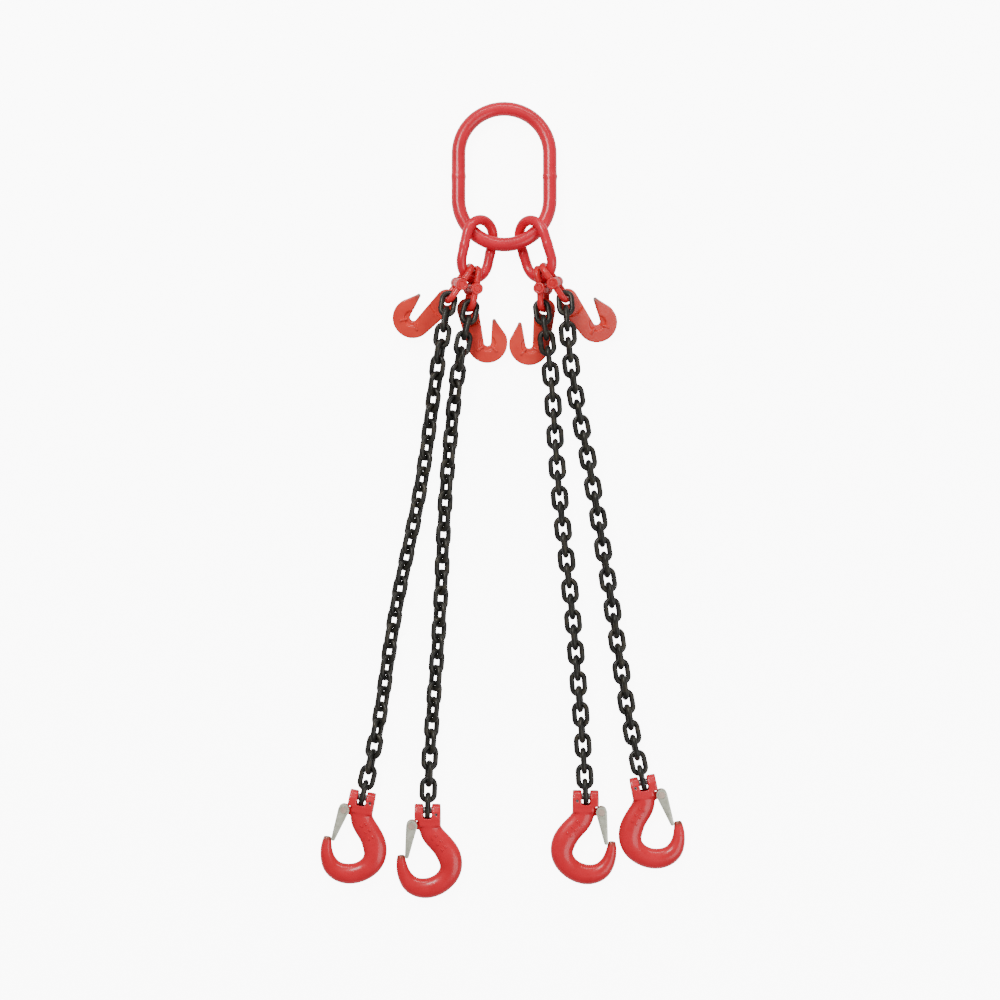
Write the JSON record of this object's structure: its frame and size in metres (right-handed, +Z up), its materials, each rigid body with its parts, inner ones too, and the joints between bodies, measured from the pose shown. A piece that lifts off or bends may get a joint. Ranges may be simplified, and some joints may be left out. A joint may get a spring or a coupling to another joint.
{
  "type": "four leg chain sling",
  "caption": "Chain sling: an oblong master link and two smaller rings carry alloy chain legs, each with a shortening hook and a latched clevis sling hook, laid out flat.",
  "frame": {"origin": "the floor under the middle of the box round the whole sling as it lies flat", "axes": "+X to the right across the legs, +Y along the sling towards the master link, +Z up from the floor"},
  "size_m": [0.4724, 1.031, 0.0602],
  "materials": {
    "ring_red": "gloss crimson enamel",
    "coupling_red": "gloss red enamel",
    "shortening_red": "gloss orange red enamel, worn at the tip",
    "hook_red": "gloss bright red enamel",
    "chain_black": "black oxide with a light oil sheen",
    "latch_zinc": "zinc plated pressed sheet",
    "rivet_zinc": "zinc plated rivet",
    "pin_steel": "turned steel",
    "spring_steel": "oiled spring steel"
  },
  "bodies": {
    "master_link": {"master_link": "ring_red"},
    "left_sub_link": {"left_sub_link": "ring_red"},
    "right_sub_link": {"right_sub_link": "ring_red"},
    "leg_1_coupling_upper": {"leg_1_coupling_upper": "coupling_red", "leg_1_coupling_pin": "coupling_red", "leg_1_coupling_bush": "coupling_red"},
    "leg_1_coupling_lower": {"leg_1_coupling_lower": "coupling_red"},
    "leg_1_shortening_hook": {"leg_1_shortening_hook": "shortening_red"},
    "leg_1_chain_upper": {"leg_1_chain_upper": "chain_black"},
    "leg_1_chain_middle": {"leg_1_chain_middle": "chain_black"},
    "leg_1_chain_lower": {"leg_1_chain_lower": "chain_black"},
    "leg_1_sling_hook": {"leg_1_sling_hook": "hook_red", "leg_1_clevis_pin": "pin_steel", "leg_1_roll_pin": "spring_steel", "leg_1_latch_rivet": "rivet_zinc", "leg_1_latch_spring": "spring_steel"},
    "leg_1_latch": {"leg_1_latch": "latch_zinc"},
    "leg_2_coupling_upper": {"leg_2_coupling_upper": "coupling_red", "leg_2_coupling_pin": "coupling_red", "leg_2_coupling_bush": "coupling_red"},
    "leg_2_coupling_lower": {"leg_2_coupling_lower": "coupling_red"},
    "leg_2_shortening_hook": {"leg_2_shortening_hook": "shortening_red"},
    "leg_2_chain_upper": {"leg_2_chain_upper": "chain_black"},
    "leg_2_chain_middle": {"leg_2_chain_middle": "chain_black"},
    "leg_2_chain_lower": {"leg_2_chain_lower": "chain_black"},
    "leg_2_sling_hook": {"leg_2_sling_hook": "hook_red", "leg_2_clevis_pin": "pin_steel", "leg_2_roll_pin": "spring_steel", "leg_2_latch_rivet": "rivet_zinc", "leg_2_latch_spring": "spring_steel"},
    "leg_2_latch": {"leg_2_latch": "latch_zinc"},
    "leg_3_coupling_upper": {"leg_3_coupling_upper": "coupling_red", "leg_3_coupling_pin": "coupling_red", "leg_3_coupling_bush": "coupling_red"},
    "leg_3_coupling_lower": {"leg_3_coupling_lower": "coupling_red"},
    "leg_3_shortening_hook": {"leg_3_shortening_hook": "shortening_red"},
    "leg_3_chain_upper": {"leg_3_chain_upper": "chain_black"},
    "leg_3_chain_middle": {"leg_3_chain_middle": "chain_black"},
    "leg_3_chain_lower": {"leg_3_chain_lower": "chain_black"},
    "leg_3_sling_hook": {"leg_3_sling_hook": "hook_red", "leg_3_clevis_pin": "pin_steel", "leg_3_roll_pin": "spring_steel", "leg_3_latch_rivet": "rivet_zinc", "leg_3_latch_spring": "spring_steel"},
    "leg_3_latch": {"leg_3_latch": "latch_zinc"},
    "leg_4_coupling_upper": {"leg_4_coupling_upper": "coupling_red", "leg_4_coupling_pin": "coupling_red", "leg_4_coupling_bush": "coupling_red"},
    "leg_4_coupling_lower": {"leg_4_coupling_lower": "coupling_red"},
    "leg_4_shortening_hook": {"leg_4_shortening_hook": "shortening_red"},
    "leg_4_chain_upper": {"leg_4_chain_upper": "chain_black"},
    "leg_4_chain_middle": {"leg_4_chain_middle": "chain_black"},
    "leg_4_chain_lower": {"leg_4_chain_lower": "chain_black"},
    "leg_4_sling_hook": {"leg_4_sling_hook": "hook_red", "leg_4_clevis_pin": "pin_steel", "leg_4_roll_pin": "spring_steel", "leg_4_latch_rivet": "rivet_zinc", "leg_4_latch_spring": "spring_steel"},
    "leg_4_latch": {"leg_4_latch": "latch_zinc"}
  },
  "joints": [
    {"name": "left_sub_link_lift", "type": "hinge", "parent": "master_link", "child": "left_sub_link", "pos_m": [-0.02841, 0.33749, 0.0266], "axis": [-0.6691, 0.7431, 0], "range_deg": [0, 15]},
    {"name": "right_sub_link_lift", "type": "hinge", "parent": "master_link", "child": "right_sub_link", "pos_m": [0.03539, 0.33955, 0.02642], "axis": [-0.606, -0.7955, 0], "range_deg": [0, 40]},
    {"name": "leg_1_coupling_lift", "type": "hinge", "parent": "left_sub_link", "child": "leg_1_coupling_upper", "pos_m": [-0.04768, 0.29398, 0.03293], "axis": [-0.7954, 0.5481, 0.2588], "range_deg": [0, 30]},
    {"name": "leg_1_coupling_swing", "type": "hinge", "parent": "leg_1_coupling_upper", "child": "leg_1_coupling_lower", "pos_m": [-0.05612, 0.27834, 0.0328], "axis": [-0.1935, 0.139, -0.9712], "range_deg": [0, 20]},
    {"name": "leg_1_shortening_hook_swing", "type": "hinge", "parent": "leg_1_coupling_lower", "child": "leg_1_shortening_hook", "pos_m": [-0.07098, 0.25676, 0.03268], "axis": [-0.1935, 0.139, -0.9712], "range_deg": [0, 16]},
    {"name": "leg_1_chain_swing", "type": "hinge", "parent": "leg_1_coupling_lower", "child": "leg_1_chain_upper", "pos_m": [-0.06955, 0.25573, 0.03986], "axis": [-0.1935, 0.139, -0.9712], "range_deg": [0, 22]},
    {"name": "leg_1_chain_bend", "type": "hinge", "parent": "leg_1_chain_upper", "child": "leg_1_chain_middle", "pos_m": [-0.10352, 0.03364, 0.01351], "axis": [-0.7789, 0.1197, -0.6157], "range_deg": [0, 40]},
    {"name": "leg_1_chain_end_bend", "type": "hinge", "parent": "leg_1_chain_middle", "child": "leg_1_chain_lower", "pos_m": [-0.14286, -0.16906, 0.01351], "axis": [-0.7769, 0.1316, -0.6157], "range_deg": [0, 40]},
    {"name": "leg_1_hook_lift", "type": "hinge", "parent": "leg_1_chain_lower", "child": "leg_1_sling_hook", "pos_m": [-0.18152, -0.38451, 0.01545], "axis": [-0.9816, 0.1908, 0], "range_deg": [0, 60]},
    {"name": "leg_1_latch_open", "type": "hinge", "parent": "leg_1_sling_hook", "child": "leg_1_latch", "pos_m": [-0.20546, -0.40023, 0.01508], "axis": [-0.0036, -0.0184, 0.9998], "range_deg": [0, 35], "stiffness_Nm_per_rad": 0.02, "springref_deg": -34.38},
    {"name": "leg_2_coupling_lift", "type": "hinge", "parent": "left_sub_link", "child": "leg_2_coupling_upper", "pos_m": [-0.03584, 0.28686, 0.02671], "axis": [-0.745, 0.667, 0], "range_deg": [0, 8]},
    {"name": "leg_2_coupling_swing", "type": "hinge", "parent": "leg_2_coupling_upper", "child": "leg_2_coupling_lower", "pos_m": [-0.03812, 0.27184, 0.0266], "axis": [0.2786, -0.0491, 0.9592], "range_deg": [0, 1]},
    {"name": "leg_2_shortening_hook_swing", "type": "hinge", "parent": "leg_2_coupling_lower", "child": "leg_2_shortening_hook", "pos_m": [-0.04349, 0.2462, 0.02685], "axis": [-0.2786, 0.0491, -0.9592], "range_deg": [0, 6]},
    {"name": "leg_2_chain_lift", "type": "hinge", "parent": "leg_2_coupling_lower", "child": "leg_2_chain_upper", "pos_m": [-0.03932, 0.25531, 0.03236], "axis": [-0.9756, 0.2195, 0], "range_deg": [0, 6]},
    {"name": "leg_2_chain_bend", "type": "hinge", "parent": "leg_2_chain_upper", "child": "leg_2_chain_middle", "pos_m": [-0.0727, 0.02359, 0.01351], "axis": [-0.7852, 0.0662, 0.6157], "range_deg": [0, 40]},
    {"name": "leg_2_chain_end_bend", "type": "hinge", "parent": "leg_2_chain_middle", "child": "leg_2_chain_lower", "pos_m": [-0.08356, -0.18262, 0.01351], "axis": [-0.7864, 0.0503, 0.6157], "range_deg": [0, 40]},
    {"name": "leg_2_hook_lift", "type": "hinge", "parent": "leg_2_chain_lower", "child": "leg_2_sling_hook", "pos_m": [-0.09712, -0.40122, 0.01545], "axis": [-1, 0, 0], "range_deg": [0, 60]},
    {"name": "leg_2_latch_open", "type": "hinge", "parent": "leg_2_sling_hook", "child": "leg_2_latch", "pos_m": [-0.11762, -0.42121, 0.01508], "axis": [0, -0.0188, 0.9998], "range_deg": [0, 35], "stiffness_Nm_per_rad": 0.02, "springref_deg": -34.38},
    {"name": "leg_3_coupling_lift", "type": "hinge", "parent": "right_sub_link", "child": "leg_3_coupling_upper", "pos_m": [0.04875, 0.29017, 0.02641], "axis": [-0.8296, -0.4947, -0.2588], "range_deg": [0, 4]},
    {"name": "leg_3_coupling_swing", "type": "hinge", "parent": "leg_3_coupling_upper", "child": "leg_3_coupling_lower", "pos_m": [0.05208, 0.27234, 0.0266], "axis": [0.279, 0.0503, -0.959], "range_deg": [0, 1]},
    {"name": "leg_3_shortening_hook_swing", "type": "hinge", "parent": "leg_3_coupling_lower", "child": "leg_3_shortening_hook", "pos_m": [0.05432, 0.24651, 0.01891], "axis": [0.0229, -0.1443, 0.9893], "range_deg": [0, 8]},
    {"name": "leg_3_chain_lift", "type": "hinge", "parent": "leg_3_coupling_lower", "child": "leg_3_chain_upper", "pos_m": [0.04892, 0.25541, 0.03093], "axis": [-0.9883, -0.1524, 0], "range_deg": [0, 10]},
    {"name": "leg_3_chain_bend", "type": "hinge", "parent": "leg_3_chain_upper", "child": "leg_3_chain_middle", "pos_m": [0.07149, 0.02813, 0.01519], "axis": [-0.9904, -0.0746, -0.1161], "range_deg": [0, 40]},
    {"name": "leg_3_chain_end_bend", "type": "hinge", "parent": "leg_3_chain_middle", "child": "leg_3_chain_lower", "pos_m": [0.09233, -0.17137, 0.01512], "axis": [-0.9804, -0.0929, -0.1736], "range_deg": [0, 40]},
    {"name": "leg_3_hook_lift", "type": "hinge", "parent": "leg_3_chain_lower", "child": "leg_3_sling_hook", "pos_m": [0.10742, -0.38338, 0.01545], "axis": [-1, 0.0087, 0], "range_deg": [0, 60]},
    {"name": "leg_3_latch_open", "type": "hinge", "parent": "leg_3_sling_hook", "child": "leg_3_latch", "pos_m": [0.12774, -0.40356, 0.01508], "axis": [0.0002, 0.0187, -0.9998], "range_deg": [0, 35], "stiffness_Nm_per_rad": 0.02, "springref_deg": -34.38},
    {"name": "leg_4_coupling_lift", "type": "hinge", "parent": "right_sub_link", "child": "leg_4_coupling_upper", "pos_m": [0.0584, 0.28874, 0.03752], "axis": [-0.7038, -0.6616, -0.2588], "range_deg": [0, 30]},
    {"name": "leg_4_coupling_swing", "type": "hinge", "parent": "leg_4_coupling_upper", "child": "leg_4_coupling_lower", "pos_m": [0.06718, 0.27934, 0.0374], "axis": [-0.1869, -0.1418, 0.9721], "range_deg": [0, 20]},
    {"name": "leg_4_shortening_hook_swing", "type": "hinge", "parent": "leg_4_coupling_lower", "child": "leg_4_shortening_hook", "pos_m": [0.08154, 0.25742, 0.03697], "axis": [-0.1869, -0.1418, 0.9721], "range_deg": [0, 20]},
    {"name": "leg_4_chain_swing", "type": "hinge", "parent": "leg_4_coupling_lower", "child": "leg_4_chain_upper", "pos_m": [0.08016, 0.25638, 0.04416], "axis": [-0.1869, -0.1418, 0.9721], "range_deg": [0, 10]},
    {"name": "leg_4_chain_bend", "type": "hinge", "parent": "leg_4_chain_upper", "child": "leg_4_chain_middle", "pos_m": [0.1125, 0.04084, 0.01519], "axis": [-0.9759, -0.185, 0.1161], "range_deg": [0, 40]},
    {"name": "leg_4_chain_end_bend", "type": "hinge", "parent": "leg_4_chain_middle", "child": "leg_4_chain_lower", "pos_m": [0.14411, -0.15663, 0.01512], "axis": [-0.9739, -0.1464, 0.1736], "range_deg": [0, 40]},
    {"name": "leg_4_hook_lift", "type": "hinge", "parent": "leg_4_chain_lower", "child": "leg_4_sling_hook", "pos_m": [0.18152, -0.36509, 0.01545], "axis": [-0.9816, -0.1908, 0], "range_deg": [0, 60]},
    {"name": "leg_4_latch_open", "type": "hinge", "parent": "leg_4_sling_hook", "child": "leg_4_latch", "pos_m": [0.20546, -0.38081, 0.01508], "axis": [-0.0036, 0.0184, -0.9998], "range_deg": [0, 35], "stiffness_Nm_per_rad": 0.02, "springref_deg": -34.38}
  ]
}
